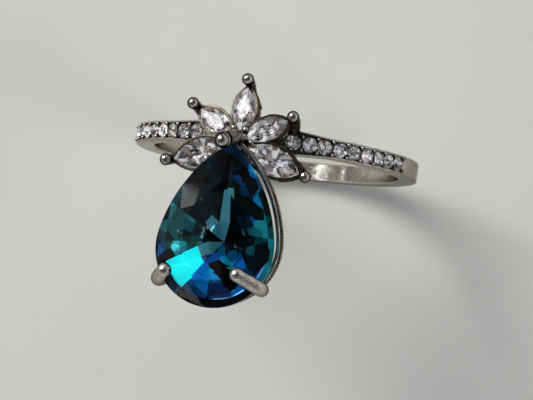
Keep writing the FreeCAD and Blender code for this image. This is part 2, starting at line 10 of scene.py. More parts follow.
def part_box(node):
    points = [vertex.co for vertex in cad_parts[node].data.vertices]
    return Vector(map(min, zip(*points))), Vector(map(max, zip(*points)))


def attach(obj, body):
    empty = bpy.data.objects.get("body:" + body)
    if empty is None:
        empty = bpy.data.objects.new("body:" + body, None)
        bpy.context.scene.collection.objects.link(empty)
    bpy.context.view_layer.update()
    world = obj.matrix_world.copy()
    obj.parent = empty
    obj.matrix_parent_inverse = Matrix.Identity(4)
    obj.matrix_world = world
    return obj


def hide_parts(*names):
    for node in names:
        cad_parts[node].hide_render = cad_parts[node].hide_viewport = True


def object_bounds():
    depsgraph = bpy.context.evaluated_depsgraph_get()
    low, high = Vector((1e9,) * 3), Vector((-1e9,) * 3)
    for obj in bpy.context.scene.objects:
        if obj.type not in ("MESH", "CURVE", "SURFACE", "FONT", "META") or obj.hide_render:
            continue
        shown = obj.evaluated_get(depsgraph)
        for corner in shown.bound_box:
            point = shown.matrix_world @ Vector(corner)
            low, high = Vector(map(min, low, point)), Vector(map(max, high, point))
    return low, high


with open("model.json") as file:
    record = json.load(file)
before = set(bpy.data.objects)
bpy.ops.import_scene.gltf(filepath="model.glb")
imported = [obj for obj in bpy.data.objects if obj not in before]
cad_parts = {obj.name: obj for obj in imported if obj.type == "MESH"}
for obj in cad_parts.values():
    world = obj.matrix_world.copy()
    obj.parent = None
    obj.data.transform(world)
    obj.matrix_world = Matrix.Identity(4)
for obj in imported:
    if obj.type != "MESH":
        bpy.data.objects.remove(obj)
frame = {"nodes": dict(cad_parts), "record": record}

# Flower and pear cocktail ring. Metres, in the CAD frame: finger axis along Y, head towards +Z,
# origin at the centre of the finger hole. Every place and size comes from the CAD nodes.

MM = 0.001
SPECK = 0.05 * MM
PEAR_TURN = math.radians(9.4)
PEAR_HEART_SHARE = 0.90
PEAR_GIRDLE = 0.16 * MM
PETAL_GIRDLE = 0.07 * MM
TABLE_SHARE = 0.56
STAR_REACH = 0.42
STAR_RISE = 0.63
LOWER_REACH = 0.24
LOWER_DEPTH = 1.08
TIERS = (0.20, 0.40, 0.80, 1.0)
ROUND_CROWN_SHARE = 0.19
ROUND_GIRDLE_SHARE = 0.03
RAIL_TIP_SHIFT = 0.3 * MM
RAIL_GAP = 0.012
BEAD_RADIUS = 0.15 * MM
BALL_SHINE = 0.75 * MM
CENTRE_SHINE = 0.9 * MM
BAND_WIDTH = 1.3 * MM
EASE = 0.12 * MM
CHANNEL_DEPTH = 0.16 * MM
CHANNEL_MARGIN = math.radians(3.9)
CHANNEL_FADE = math.radians(1.2)
BAND_STEPS = 480
SHOULDER_FLAT = 2.6 * MM
SHOULDER_END = 5.6 * MM
FLOOR_REACH = 400 * MM
cad_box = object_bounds()
scene = bpy.context.scene
nodes = frame["nodes"]


# ---------------------------------------------------------------- mesh helpers

def new_piece(name, mesh, node, material, smooth=False):
    """Link a finished mesh as a piece that stands for a CAD node."""
    obj = bpy.data.objects.new(name, mesh)
    scene.collection.objects.link(obj)
    if smooth:
        mesh.shade_smooth()
    for item in material if isinstance(material, (list, tuple)) else [material]:
        mesh.materials.append(item)
    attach(obj, "root")
    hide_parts(node)
    return obj


def mesh_from(bm, name):
    """A Blender mesh from a bmesh, with its normals facing out."""
    bmesh.ops.recalc_face_normals(bm, faces=bm.faces[:])
    mesh = bpy.data.meshes.new(name)
    bm.to_mesh(mesh)
    bm.free()
    return mesh


def node_points(name):
    return [v.co.copy() for v in nodes[name].data.vertices]


def node_islands(name):
    """The vertices of each separate solid in a node."""
    mesh = nodes[name].data
    points = [v.co.copy() for v in mesh.vertices]
    weld = {}
    link = list(range(len(points)))

    def root(index):
        while link[index] != index:
            link[index] = link[link[index]]
            index = link[index]
        return index

    for index, point in enumerate(points):
        key = tuple(round(c * 1e7) for c in point)
        if key in weld:
            link[root(index)] = root(weld[key])
        weld[key] = index
    for edge in mesh.edges:
        link[root(edge.vertices[0])] = root(edge.vertices[1])
    groups = {}
    for index, point in enumerate(points):
        groups.setdefault(root(index), []).append(point)
    return list(groups.values())


def box_of(points):
    """The lowest and highest corner of a set of points."""
    low = Vector([min(p[i] for p in points) for i in range(3)])
    high = Vector([max(p[i] for p in points) for i in range(3)])
    return low, high


def main_normal(name):
    """The direction that the largest flat area of a node faces: a cut stone's table."""
    totals = {}
    for face in nodes[name].data.polygons:
        key = tuple(round(c, 2) for c in face.normal)
        totals[key] = totals.get(key, 0) + face.area
    return Vector(max(totals, key=totals.get)).normalized()


def stone_frame(name):
    """A long stone's own frame: origin at its head-side tip, X along it, Z out of its table."""
    points = node_points(name)
    up = main_normal(name)
    middle = sum(points, Vector()) / len(points)
    far = max(points, key=lambda p: (p - middle).length)
    other = max(points, key=lambda p: (p - far).length)
    hub = Vector((0, -0.6 * MM, middle.z))
    tip, end = sorted((far, other), key=lambda p: (p - hub).length)
    tip = min(points, key=lambda p: (p - tip).length + abs((p - tip).dot(up)))
    along = end - tip
    along = (along - up * along.dot(up)).normalized()
    across = up.cross(along)
    axes = Matrix((along, across, up)).transposed().to_4x4()
    local = [axes.transposed() @ (p - middle) for p in points]
    low, high = box_of(local)
    origin = middle + axes @ Vector((low.x, (low.y + high.y) / 2, 0))
    at_tip = [p.z for p in local if abs(p.x - low.x) < 0.02 * MM]
    girdle = sum(at_tip) / max(1, len(at_tip))
    origin += up * girdle
    axes.translation = origin
    sizes = high - low
    return {"matrix": axes, "length": sizes.x, "width": sizes.y,
            "crown": high.z - girdle, "pavilion": girdle - low.z}


# ---------------------------------------------------------------- materials

def principled(name):
    material = bpy.data.materials.new(name)
    material.use_nodes = True
    tree = material.node_tree
    return material, tree, tree.nodes["Principled BSDF"]


def map_range(tree, value, old, new=(0.0, 1.0)):
    """A value moved from one range to another."""
    remap = tree.nodes.new("ShaderNodeMapRange")
    remap.inputs["From Min"].default_value, remap.inputs["From Max"].default_value = old
    remap.inputs["To Min"].default_value, remap.inputs["To Max"].default_value = new
    tree.links.new(value, remap.inputs["Value"])
    return remap.outputs["Result"]


def math_node(tree, operation, first, second, clamp=False):
    """Two values put together; the second is a number or a socket."""
    node = tree.nodes.new("ShaderNodeMath")
    node.operation = operation
    node.use_clamp = clamp
    tree.links.new(first, node.inputs[0])
    if isinstance(second, bpy.types.NodeSocket):
        tree.links.new(second, node.inputs[1])
    else:
        node.inputs[1].default_value = second
    return node.outputs[0]


def noise(tree, scale, detail, source="Object", roughness=0.6):
    """Plain noise over the object."""
    coords = tree.nodes.new("ShaderNodeTexCoord")
    texture = tree.nodes.new("ShaderNodeTexNoise")
    texture.inputs["Scale"].default_value = scale
    texture.inputs["Detail"].default_value = detail
    texture.inputs["Roughness"].default_value = roughness
    tree.links.new(coords.outputs[source], texture.inputs["Vector"])
    return texture.outputs["Fac"]


def noise_between(tree, scale, detail, low, high):
    """Noise over the object, moved between two values."""
    return map_range(tree, noise(tree, scale, detail), (0.3, 0.7), (low, high))


def mix_colour(tree, factor, first, second):
    mix = tree.nodes.new("ShaderNodeMix")
    mix.data_type = "RGBA"
    for socket, value in ((mix.inputs[6], first), (mix.inputs[7], second)):
        if isinstance(value, bpy.types.NodeSocket):
            tree.links.new(value, socket)
        else:
            socket.default_value = value
    tree.links.new(factor, mix.inputs[0])
    return mix.outputs[2]


def metal(name, bright, dull, dark, reach, fade, gloss, scratch, edge, turn=(0.16, 0.62),
          rim=(0.6, 0.58, 0.55, 1)):
    """White metal: cloudy colour, tarnish and painted shade in the recesses, painted shade down the sides
    turned from the camera, fine scratches.

    reach and fade set how wide and how sharp the tarnish and painted shade in the recesses are, gloss the
    roughness, scratch the grain's depth, edge and turn how dark the painted shade down the turned-away sides
    is and where that starts and ends.
    """
    material, tree, shader = principled(name)
    shader.inputs["Metallic"].default_value = 1.0
    # the rim tint darkens the grazing reflection, part of the painted shade on the turned-away sides
    shader.inputs["Specular Tint"].default_value = rim
    body = mix_colour(tree, noise_between(tree, 900, 4, 0.0, 1.0), bright, dull)
    # painted shade: recesses darken through ambient occlusion, tarnish and shade painted together
    hollow = tree.nodes.new("ShaderNodeAmbientOcclusion")
    hollow.samples = 8
    hollow.inputs["Distance"].default_value = reach
    open_share = math_node(tree, "POWER", hollow.outputs["AO"], fade)
    open_share = math_node(tree, "MULTIPLY", open_share, noise_between(tree, 3200, 5, 0.75, 1.15), clamp=True)
    # painted shade: the colour darkens where the surface turns away from the camera, standing in for dark
    # reflections at the rims
    turned = tree.nodes.new("ShaderNodeLayerWeight")
    turned.inputs["Blend"].default_value = 0.35
    facing = map_range(tree, turned.outputs["Facing"], turn, (1.0, 1.0 - edge))
    clean_and_unshaded = math_node(tree, "MULTIPLY", open_share, facing)
    tree.links.new(mix_colour(tree, clean_and_unshaded, dark, body), shader.inputs["Base Color"])
    tree.links.new(noise_between(tree, 2500, 6, *gloss), shader.inputs["Roughness"])
    bump = tree.nodes.new("ShaderNodeBump")
    bump.inputs["Strength"].default_value = scratch
    bump.inputs["Distance"].default_value = 0.004 * MM
    tree.links.new(noise(tree, 14000, 3), bump.inputs["Height"])
    tree.links.new(bump.outputs["Normal"], shader.inputs["Normal"])
    return material


def paint_shade_to_left(material, dark, start, end):
    """Paints shade into a material's colour from one X to another, as on a face turned from the light."""
    tree = material.node_tree
    shader = tree.nodes["Principled BSDF"]
    plain = shader.inputs["Base Color"].links[0].from_socket
    coords = tree.nodes.new("ShaderNodeTexCoord")
    split = tree.nodes.new("ShaderNodeSeparateXYZ")
    tree.links.new(coords.outputs["Object"], split.inputs[0])
    share = map_range(tree, split.outputs["X"], (start, end))
    tree.links.new(mix_colour(tree, share, plain, dark), shader.inputs["Base Color"])


def crown_glass(name, tint, ior):
    """The clear upper part of a cut stone."""
    material, tree, shader = principled(name)
    shader.inputs["Base Color"].default_value = tint
    shader.inputs["Transmission Weight"].default_value = 1.0
    shader.inputs["IOR"].default_value = ior
    tree.links.new(noise_between(tree, 5000, 3, 0.0, 0.03), shader.inputs["Roughness"])
    return material


def back_facets(name, metallic, rough, cell, low, high):
    """The stone's back facets: each has its own painted tone, broken into shards of painted reflection.

    cell is how fine the painted shards are, low and high how much they darken and brighten the tone.
    """
    material, tree, shader = principled(name)
    shader.inputs["Metallic"].default_value = metallic
    shader.inputs["Roughness"].default_value = rough
    tone = tree.nodes.new("ShaderNodeAttribute")
    tone.attribute_name = "facet"
    coords = tree.nodes.new("ShaderNodeTexCoord")
    # painted reflections: shards that darken and brighten the facet colour, past white where high is over 1
    shards = tree.nodes.new("ShaderNodeTexVoronoi")
    shards.inputs["Scale"].default_value = cell
    tree.links.new(coords.outputs["Object"], shards.inputs["Vector"])
    split = tree.nodes.new("ShaderNodeSeparateColor")
    tree.links.new(shards.outputs["Color"], split.inputs[0])
    level = map_range(tree, split.outputs[0], (0.25, 0.85), (low, high))
    shift = map_range(tree, split.outputs[1], (0.0, 1.0), (0.465, 0.51))
    lit = tree.nodes.new("ShaderNodeHueSaturation")
    tree.links.new(level, lit.inputs["Value"])
    tree.links.new(shift, lit.inputs["Hue"])
    tree.links.new(tone.outputs["Color"], lit.inputs["Color"])
    colour = mix_colour(tree, tone.outputs["Alpha"], tone.outputs["Color"], lit.outputs["Color"])
    tree.links.new(colour, shader.inputs["Base Color"])
    return material


# edge and turn set each metal's painted shade down the sides turned from the camera
polished = metal("polished_silver", (0.86, 0.83, 0.80, 1), (0.72, 0.69, 0.65, 1), (0.050, 0.028, 0.020, 1),
                 reach=0.35 * MM, fade=1.8, gloss=(0.08, 0.16), scratch=0.03, edge=0.96, turn=(0.05, 0.34),
                 rim=(0.22, 0.17, 0.14, 1))
satin = metal("satin_silver", (0.84, 0.80, 0.75, 1), (0.66, 0.62, 0.57, 1), (0.05, 0.04, 0.025, 1),
              reach=0.3 * MM, fade=1.3, gloss=(0.20, 0.34), scratch=0.25, edge=0.70, turn=(0.12, 0.55),
              rim=(0.5, 0.46, 0.40, 1))
# painted shade: this dark brown finish is tarnish with shade painted in, for the parts in recesses and under
# the stones: the channel, milgrain, struts, base rail, head base and the posts below their balls
aged_and_shaded = metal("aged_silver", (0.43, 0.385, 0.31, 1), (0.22, 0.18, 0.125, 1), (0.013, 0.008, 0.005, 1),
             reach=0.45 * MM, fade=2.6, gloss=(0.14, 0.32), scratch=0.3, edge=0.75)
band_metal = metal("band_silver", (0.72, 0.70, 0.65, 1), (0.55, 0.52, 0.46, 1), (0.03, 0.02, 0.01, 1),
                   reach=0.3 * MM, fade=2.6, gloss=(0.10, 0.24), scratch=0.2, edge=0.35)
# painted shade: the band's inside gets a darker colour than its outside, shade painted over its rougher worn
# finish
worn_shaded_inside = metal("worn_shaded_inside", (0.42, 0.41, 0.38, 1), (0.26, 0.25, 0.22, 1), (0.03, 0.02, 0.01, 1),
                    reach=0.3 * MM, fade=1.5, gloss=(0.16, 0.30), scratch=0.3, edge=0.3,
                    rim=(0.12, 0.12, 0.10, 1))
# painted shade: the collets are coloured very dark, tarnish with shade painted in, so their rims stay dim
tarnish_and_deep_shade = metal("tarnish_and_deep_shade_silver", (0.20, 0.17, 0.12, 1), (0.10, 0.08, 0.05, 1), (0.010, 0.007, 0.004, 1),
                  reach=0.4 * MM, fade=2.0, gloss=(0.26, 0.42), scratch=0.3, edge=0.6)
# painted shade: the inside darkens further towards the left
paint_shade_to_left(worn_shaded_inside, (0.020, 0.019, 0.015, 1), 0, -5 * MM)
blue_crown = crown_glass("blue_crown", (0.80, 0.96, 1.0, 1), 1.27)
# painted reflections: the back facets' tones stand in for the light the stones send back
blue_back = back_facets("blue_back", metallic=0.45, rough=0.06, cell=1100, low=0.0, high=2.2)
clear_crown = crown_glass("clear_crown", (0.98, 0.98, 1.0, 1), 1.60)
clear_back = back_facets("clear_back", metallic=0.4, rough=0.03, cell=3600, low=0.45, high=1.6)
tiny_back = back_facets("tiny_back", metallic=0.4, rough=0.03, cell=5600, low=0.4, high=1.8)


# ---------------------------------------------------------------- cut stones

def pear_curve(length, width, turn=PEAR_TURN):
    """A pear outline as a function of u in 0..1, round from the tip; the tip at the origin, +X along it."""
    radius = width / 2
    centre = length - radius
    lean = math.sin(turn)
    side = (radius ** 2 + centre ** 2 - 2 * centre * radius * lean) / (2 * (radius - centre * lean))
    side_y = (radius - side) * math.cos(turn)
    side_x = centre - (radius - side) * lean
    start = math.atan2(-side_x, -side_y)
    side_length = side * (-turn - start)
    bottom_length = radius * (math.pi + 2 * turn)
    total = 2 * side_length + bottom_length

    def curve(u):
        walk = (u % 1.0) * total
        if walk < side_length:
            angle = start + walk / side
            return Vector((side_x + side * math.sin(angle), side_y + side * math.cos(angle)))
        if walk < side_length + bottom_length:
            angle = -turn + (walk - side_length) / radius
            return Vector((centre + radius * math.sin(angle), radius * math.cos(angle)))
        angle = start + (total - walk) / side
        return Vector((side_x + side * math.sin(angle), -side_y - side * math.cos(angle)))
    return curve


def marquise_curve(length, width):
    """A marquise outline as a function of u in 0..1 from its tip at the origin."""
    radius = (length ** 2 + width ** 2) / (4 * width)
    half = math.asin(length / 2 / radius)

    def curve(u):
        u = u % 1.0
        side = 1 if u < 0.5 else -1
        v = u * 2 if u < 0.5 else 2 - u * 2
        angle = -half + 2 * half * v
        return Vector((length / 2 + radius * math.sin(angle),
                       side * (radius * math.cos(angle) - radius + width / 2)))
    return curve


def round_curve(diameter):
    """A round outline as a function of u in 0..1."""
    def curve(u):
        angle = 2 * math.pi * u
        return Vector((diameter / 2 * math.cos(angle), diameter / 2 * math.sin(angle)))
    return curve


def ends_of(starts, index):
    """Where one kite stands and where the next one does, on an outline that runs from 0 to 1."""
    after = starts[(index + 1) % len(starts)] + (1.0 if index + 1 == len(starts) else 0.0)
    return starts[index], after


def brilliant(name, curve, heart, crown, girdle, pavilion, starts, tone, fine=4):
    """A brilliant-cut stone on any outline: table, stars, kites, upper facets, girdle, lower facets, mains.

    curve(u) is the outline and heart the place that its facets draw in to. starts are the places u of the
    kites, tone(kind, place) gives a back facet's colour with its painted reflection, and fine is how many
    steps a facet's edge takes.
    """
    bm = bmesh.new()
    facet = bm.loops.layers.float_color.new("facet")
    heart = Vector(heart)
    count = len(starts)
    halves = [sum(ends_of(starts, index)) / 2 for index in range(count)]
    shared = {}
    faces = []

    def point(u, scale, height):
        flat = heart + (curve(u) - heart) * scale
        return bm.verts.new((flat.x, flat.y, height))

    def arc(ring, start):
        """One facet's stretch of a ring, with both of its ends."""
        return [ring[(start + step) % around] for step in range(fine + 1)]

    def between(start, end, share):
        """A point on the edge from one corner to another, made once so that neighbours share it."""
        key = (start, end, share)
        if key not in shared:
            shared[key] = bm.verts.new(start.co.lerp(end.co, share))
        return shared[key]

    def tier_row(tips, edge, share):
        """A back facet's corners part of the way from its inner corner or corners to the girdle."""
        row = [between(tips[0], edge[0], share)]
        row += [bm.verts.new(tips[0].co.lerp(corner.co, share)) for corner in edge[1:-1]]
        row.append(between(tips[-1], edge[-1], share))
        return row

    def back_facet(kind, number, tips, edge):
        """A back facet in tiers, from its inner corner or corners out to the girdle."""
        previous = tips
        for tier, share in enumerate(TIERS):
            row = tier_row(tips, edge, share) if share < 1 else edge
            faces.append((bm.faces.new(previous + row[::-1]), kind, (number, tier)))
            previous = row

    table_ring = [point(u, TABLE_SHARE, crown) for u in starts]
    star_height = girdle / 2 + (crown - girdle / 2) * STAR_RISE
    star_ring = [point(u, TABLE_SHARE + (1 - TABLE_SHARE) * STAR_REACH, star_height) for u in halves]
    lower_height = -pavilion * (1 - LOWER_REACH * LOWER_DEPTH)
    lower_ring = [point(u, LOWER_REACH, lower_height) for u in halves]
    culet = bm.verts.new((heart.x, heart.y, -pavilion))
    upper, lower = [], []
    for index in range(count):
        start, after = ends_of(starts, index)
        for first, last in ((start, halves[index]), (halves[index], after)):
            for step in range(fine):
                u = first + (last - first) * step / fine
                upper.append(point(u, 1.0, girdle / 2))
                lower.append(point(u, 1.0, -girdle / 2))
    around = len(upper)

    faces.append((bm.faces.new(table_ring), "table", 0))
    for index in range(count):
        begin = index * 2 * fine
        here, after = table_ring[index], table_ring[(index + 1) % count]
        star, star_before = star_ring[index], star_ring[index - 1]
        faces.append((bm.faces.new((here, star, after)), "star", index))
        faces.append((bm.faces.new((here, star_before, upper[begin], star)), "kite", index))
        for part, start in enumerate((begin, begin + fine)):
            faces.append((bm.faces.new([star] + arc(upper, start)[::-1]), "upper", 2 * index + part))
        for part, start in enumerate((begin, begin + fine)):
            back_facet("lower", 2 * index + part, [lower_ring[index]], arc(lower, start))
        faces.append((bm.faces.new((culet, lower_ring[index - 1], lower_ring[index])), "point", (index, 0)))
        back_facet("main", index, [lower_ring[index - 1], lower_ring[index]], [lower[begin]])
    for step in range(around):
        after = (step + 1) % around
        faces.append((bm.faces.new((upper[step], lower[step], lower[after], upper[after])), "girdle", step))
    bmesh.ops.recalc_face_normals(bm, faces=bm.faces[:])
    # each back facet keeps the colour of its painted reflection in its facet layer
    for face, kind, place in faces:
        back = kind in ("lower", "main", "point")
        face.material_index = 1 if back else 0
        colour = tone(kind, place) if back else (1, 1, 1, 1)
        for loop in face.loops:
            loop[facet] = colour
    mesh = bpy.data.meshes.new(name)
    bm.to_mesh(mesh)
    bm.free()
    return mesh


# where the kites stand on an outline; the pear's are not quite even
EVEN_STARTS = [index / 8 for index in range(8)]
PEAR_STARTS = [0.0, 0.125, 0.25, 0.375, 0.5, 0.655, 0.76, 0.85]

# facet tones: the stone's blue with its reflections painted in, black as painted dark and cyan past white as
# a painted flash; the last number is how much the painted shards break the tone up
STEEL_TEAL = (0.10, 0.38, 0.46, 0)
TEAL = (0.008, 0.20, 0.25, 1)
# painted flash: a colour brighter than white, so this facet gives back more light than falls on it
CYAN = (0.01, 2.5, 2.55, 0)
ROYAL = (0.002, 0.12, 0.46, 1)
NAVY = (0.001, 0.025, 0.10, 1)
BLACK = (0.0005, 0.003, 0.007, 1)
GREEN = (0.002, 0.060, 0.070, 1)

# the pear's back facets clockwise from its tip, each with its painted reflection tones from the point out to
# the girdle
PEAR_MAINS = (
    (STEEL_TEAL, STEEL_TEAL, BLACK, NAVY),
    (BLACK, NAVY, ROYAL, NAVY),
    (BLACK, BLACK, GREEN, TEAL),
    (NAVY, ROYAL, ROYAL, BLACK),
    (ROYAL, ROYAL, NAVY, BLACK),
    (STEEL_TEAL, CYAN, CYAN, TEAL),
    (GREEN, GREEN, GREEN, TEAL),
    (STEEL_TEAL, BLACK, BLACK, GREEN),
)
PEAR_LOWERS = (
    (BLACK, BLACK, NAVY, NAVY),
    (BLACK, NAVY, NAVY, ROYAL),
    (BLACK, NAVY, ROYAL, BLACK),
    (BLACK, TEAL, TEAL, GREEN),
    (BLACK, GREEN, BLACK, TEAL),
    (BLACK, BLACK, NAVY, TEAL),
    (TEAL, TEAL, ROYAL, BLACK),
    (ROYAL, ROYAL, NAVY, BLACK),
    (ROYAL, ROYAL, ROYAL, BLACK),
    (NAVY, CYAN, CYAN, NAVY),
    (GREEN, GREEN, TEAL, ROYAL),
    (GREEN, GREEN, GREEN, TEAL),
    (GREEN, GREEN, GREEN, TEAL),
    (BLACK, BLACK, BLACK, GREEN),
    (BLACK, BLACK, BLACK, BLACK),
    (BLACK, BLACK, BLACK, NAVY),
)


def pear_painted_reflections(kind, place):
    """Painted reflections: steel-teal mains make a star at the point, a cyan facet flashes, and the facets
    between run from black to royal blue.
    """
    number, tier = place
    if kind == "point":
        return PEAR_MAINS[number][0]
    if kind == "main":
        return PEAR_MAINS[number][tier]
    return PEAR_LOWERS[number][tier]


def build_pear():
    shape = stone_frame("pear_stone")
    length, width = shape["length"], shape["width"]
    heart = ((length - width / 2) * PEAR_HEART_SHARE, 0)
    mesh = brilliant("pear_gem", pear_curve(length, width), heart, shape["crown"], PEAR_GIRDLE,
                     shape["pavilion"], PEAR_STARTS, pear_painted_reflections)
    mesh.transform(shape["matrix"])
    new_piece("pear_gem", mesh, "pear_stone", [blue_crown, blue_back])
    return shape


def clear_painted_flashes(seed):
    """Painted flashes of colourless stones: white, grey and a little violet, facet by facet, some brighter
    than white.
    """
    draw = random.Random(seed)
    choices = [(2.6, 2.6, 2.6), (1.5, 1.5, 1.52), (1.0, 1.0, 1.03), (0.74, 0.73, 0.80), (0.40, 0.38, 0.44),
               (0.09, 0.08, 0.09), (0.52, 0.44, 0.34)]

    def tone(kind, index):
        return (*draw.choice(choices), 1)
    return tone


def build_marquises():
    names = sorted(name for name in nodes if name.startswith("petal_stone_"))
    for seed, name in enumerate(names):
        shape = stone_frame(name)
        length, width = shape["length"], shape["width"]
        gem = name.replace("stone", "gem")
        mesh = brilliant(gem, marquise_curve(length, width), (length / 2, 0), shape["crown"], PETAL_GIRDLE,
                         shape["pavilion"], EVEN_STARTS, clear_painted_flashes(seed), 3)
        mesh.transform(shape["matrix"])
        new_piece(gem, mesh, name, [clear_crown, clear_back])


def radial_frame(direction):
    """Axes with Z along a direction square to the finger axis and Y along the finger axis."""
    up = direction.normalized()
    along = Vector((0, 1, 0))
    return Matrix((along.cross(up), along, up)).transposed()


def build_pave():
    names = sorted(name for name in nodes if name.startswith("pave_stone_"))
    for seed, name in enumerate(names):
        points = node_points(name)
        low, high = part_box(name)
        up = main_normal(name)
        diameter = high.y - low.y
        top = max(p.dot(up) for p in points)
        depth = top - min(p.dot(up) for p in points)
        crown = ROUND_CROWN_SHARE * diameter
        gem = name.replace("stone", "gem")
        mesh = brilliant(gem, round_curve(diameter), (0, 0), crown, ROUND_GIRDLE_SHARE * diameter,
                         depth - crown, EVEN_STARTS, clear_painted_flashes(100 + seed), 2)
        place = radial_frame(up).to_4x4()
        place.translation = up * (top - crown)
        mesh.transform(place)
        new_piece(gem, mesh, name, [clear_crown, tiny_back])


# ---------------------------------------------------------------- metal

def drop_specks(mesh):
    """Takes away loose crumbs, smaller than any real piece of metal, that re-skinning can leave behind."""
    bm = bmesh.new()
    bm.from_mesh(mesh)
    waiting = set(bm.verts)
    crumbs = []
    while waiting:
        stack = [waiting.pop()]
        island = []
        while stack:
            vert = stack.pop()
            island.append(vert)
            for edge in vert.link_edges:
                other = edge.other_vert(vert)
                if other in waiting:
                    waiting.remove(other)
                    stack.append(other)
        spans = [max(v.co[i] for v in island) - min(v.co[i] for v in island) for i in range(3)]
        if max(spans) < SPECK:
            crumbs.extend(island)
    bmesh.ops.delete(bm, geom=crumbs, context="VERTS")
    bm.to_mesh(mesh)
    bm.free()


def cast_piece(node, material, voxel, rounds, rubbed=None):
    """A node's solid re-skinned finely and smoothed a little, as cast and tumbled metal looks.

    voxel is how fine the skin is and rounds how much it is smoothed. rubbed is how far down from its top the
    piece is worn bright, where its material is a pair.
    """
    source = nodes[node]
    bm = bmesh.new()
    bm.from_mesh(source.data)
    bmesh.ops.remove_doubles(bm, verts=bm.verts[:], dist=1e-7)
    mesh = mesh_from(bm, node + "_cast")
    obj = bpy.data.objects.new(node + "_cast", mesh)
    scene.collection.objects.link(obj)
    remesh = obj.modifiers.new("skin", "REMESH")
    remesh.mode = "VOXEL"
    remesh.voxel_size = voxel
    smooth = obj.modifiers.new("tumble", "SMOOTH")
    smooth.factor = 0.5
    smooth.iterations = rounds
    depsgraph = bpy.context.evaluated_depsgraph_get()
    final = bpy.data.meshes.new_from_object(obj.evaluated_get(depsgraph))
    bpy.data.objects.remove(obj)
    final.name = node + "_cast"
    final.materials.clear()
    drop_specks(final)
    if rubbed:
        top = max(v.co.z for v in final.vertices)
        for face in final.polygons:
            face.material_index = 0 if face.center.z > top - rubbed else 1
    new_piece(node + "_cast", final, node, material, smooth=True)


def ball(bm, centre, radius, segments=20, rings=12):
    place = Matrix.Translation(centre)
    bmesh.ops.create_uvsphere(bm, u_segments=segments, v_segments=rings, radius=radius, matrix=place)


def build_beads(node):
    """Each raised bead as a round ball, slightly uneven like hand-raised ones."""
    draw = random.Random(node)
    bm = bmesh.new()
    for points in node_islands(node):
        middle = sum(points, Vector()) / len(points)
        up = Vector((middle.x, 0, middle.z)).normalized()
        top = max(p.dot(up) for p in points)
        radius = BEAD_RADIUS * draw.uniform(0.86, 1.0)
        side = middle - up * middle.dot(up)
        ball(bm, side + up * (top - radius), radius, 14, 9)
    mesh = mesh_from(bm, node + "_raised")
    new_piece(node + "_raised", mesh, node, polished, smooth=True)


def sweep(points, radius, closed=False, sides=16):
    """A round tube along points; its ends are closed with fans."""
    bm = bmesh.new()
    rings = []
    count = len(points)
    normal = None
    for index, point in enumerate(points):
        before = points[index - 1] if index or closed else point
        after = points[(index + 1) % count] if index + 1 < count or closed else point
        along = (after - before).normalized()
        if normal is None:
            normal = along.orthogonal().normalized()
        normal = (normal - along * normal.dot(along)).normalized()
        binormal = along.cross(normal)
        rings.append([bm.verts.new(point + (normal * math.cos(a) + binormal * math.sin(a)) * radius)
                      for a in [2 * math.pi * k / sides for k in range(sides)]])
    pairs = list(zip(rings, rings[1:]))
    if closed:
        pairs.append((rings[-1], rings[0]))
    for first, second in pairs:
        for k in range(sides):
            bm.faces.new((first[k], first[(k + 1) % sides], second[(k + 1) % sides], second[k]))
    if not closed:
        bm.faces.new(rings[0][::-1])
        bm.faces.new(rings[-1])
    return bm


def rail_line(node, pear, samples):
    """Centre line of a rail, from its node's size in the pear's own frame."""
    matrix = pear["matrix"]
    low, high = box_of([matrix.inverted() @ p for p in node_points(node)])
    radius = (high.z - low.z) / 2
    height = (high.z + low.z) / 2
    width = high.y - low.y - 2 * radius
    length = high.x - radius + RAIL_TIP_SHIFT
    curve = pear_curve(length, width)
    line = []
    for step in range(samples + 1):
        flat = curve(RAIL_GAP + (1 - 2 * RAIL_GAP) * step / samples)
        line.append(matrix @ Vector((flat.x - RAIL_TIP_SHIFT, flat.y, height)))
    return line, radius


def build_rails(pear):
    line, radius = rail_line("pear_upper_rail", pear, 160)
    mesh = mesh_from(sweep(line, radius), "pear_upper_rail_wire")
    new_piece("pear_upper_rail_wire", mesh, "pear_upper_rail", polished, smooth=True)
    line, radius = rail_line("pear_milgrain_rail", pear, 118)
    bm = sweep(line, radius * 0.72, sides=12)
    for point in line[1:-1]:
        ball(bm, point, radius, 12, 8)
    mesh = mesh_from(bm, "pear_milgrain_rail_grains")
    new_piece("pear_milgrain_rail_grains", mesh, "pear_milgrain_rail", aged_and_shaded, smooth=True)


def shank_half_width(x, z):
    """Half the band's width: slim all round, wider on the shoulders next to the head."""
    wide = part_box("shank")[1].y
    narrow = BAND_WIDTH / 2
    if z < 0 or abs(x) > SHOULDER_END:
        return narrow
    if abs(x) < SHOULDER_FLAT:
        return wide
    share = (abs(x) - SHOULDER_FLAT) / (SHOULDER_END - SHOULDER_FLAT)
    return wide + (narrow - wide) * share


def channel_end(side):
    """The angle from the head to the last shoulder stone on one side."""
    start = "pave_stone_" + ("left" if side < 0 else "right")
    normals = [main_normal(name) for name in nodes if name.startswith(start)]
    return max(abs(math.atan2(normal.x, normal.z)) for normal in normals)


def band_profile(half, inner, outer, sink):
    """The band's section, as places along the finger and out from it, with a channel sunk in its top."""
    rim = max(half - 0.13 * MM, 0.4 * MM)
    wall = rim - 0.05 * MM
    seat = 0.25 * MM
    return [(-half + EASE, inner), (-half, inner + EASE), (-half, outer - EASE * 0.7),
            (-half + EASE * 0.25, outer - EASE * 0.2), (-half + EASE * 0.7, outer),
            (-rim, outer), (-wall, outer - sink), (-seat, outer - sink), (0, outer - sink),
            (seat, outer - sink), (wall, outer - sink), (rim, outer),
            (half - EASE * 0.7, outer), (half - EASE * 0.25, outer - EASE * 0.2),
            (half, outer - EASE * 0.7), (half, inner + EASE), (half - EASE, inner),
            (half * 0.4, inner), (0, inner), (-half * 0.4, inner)]


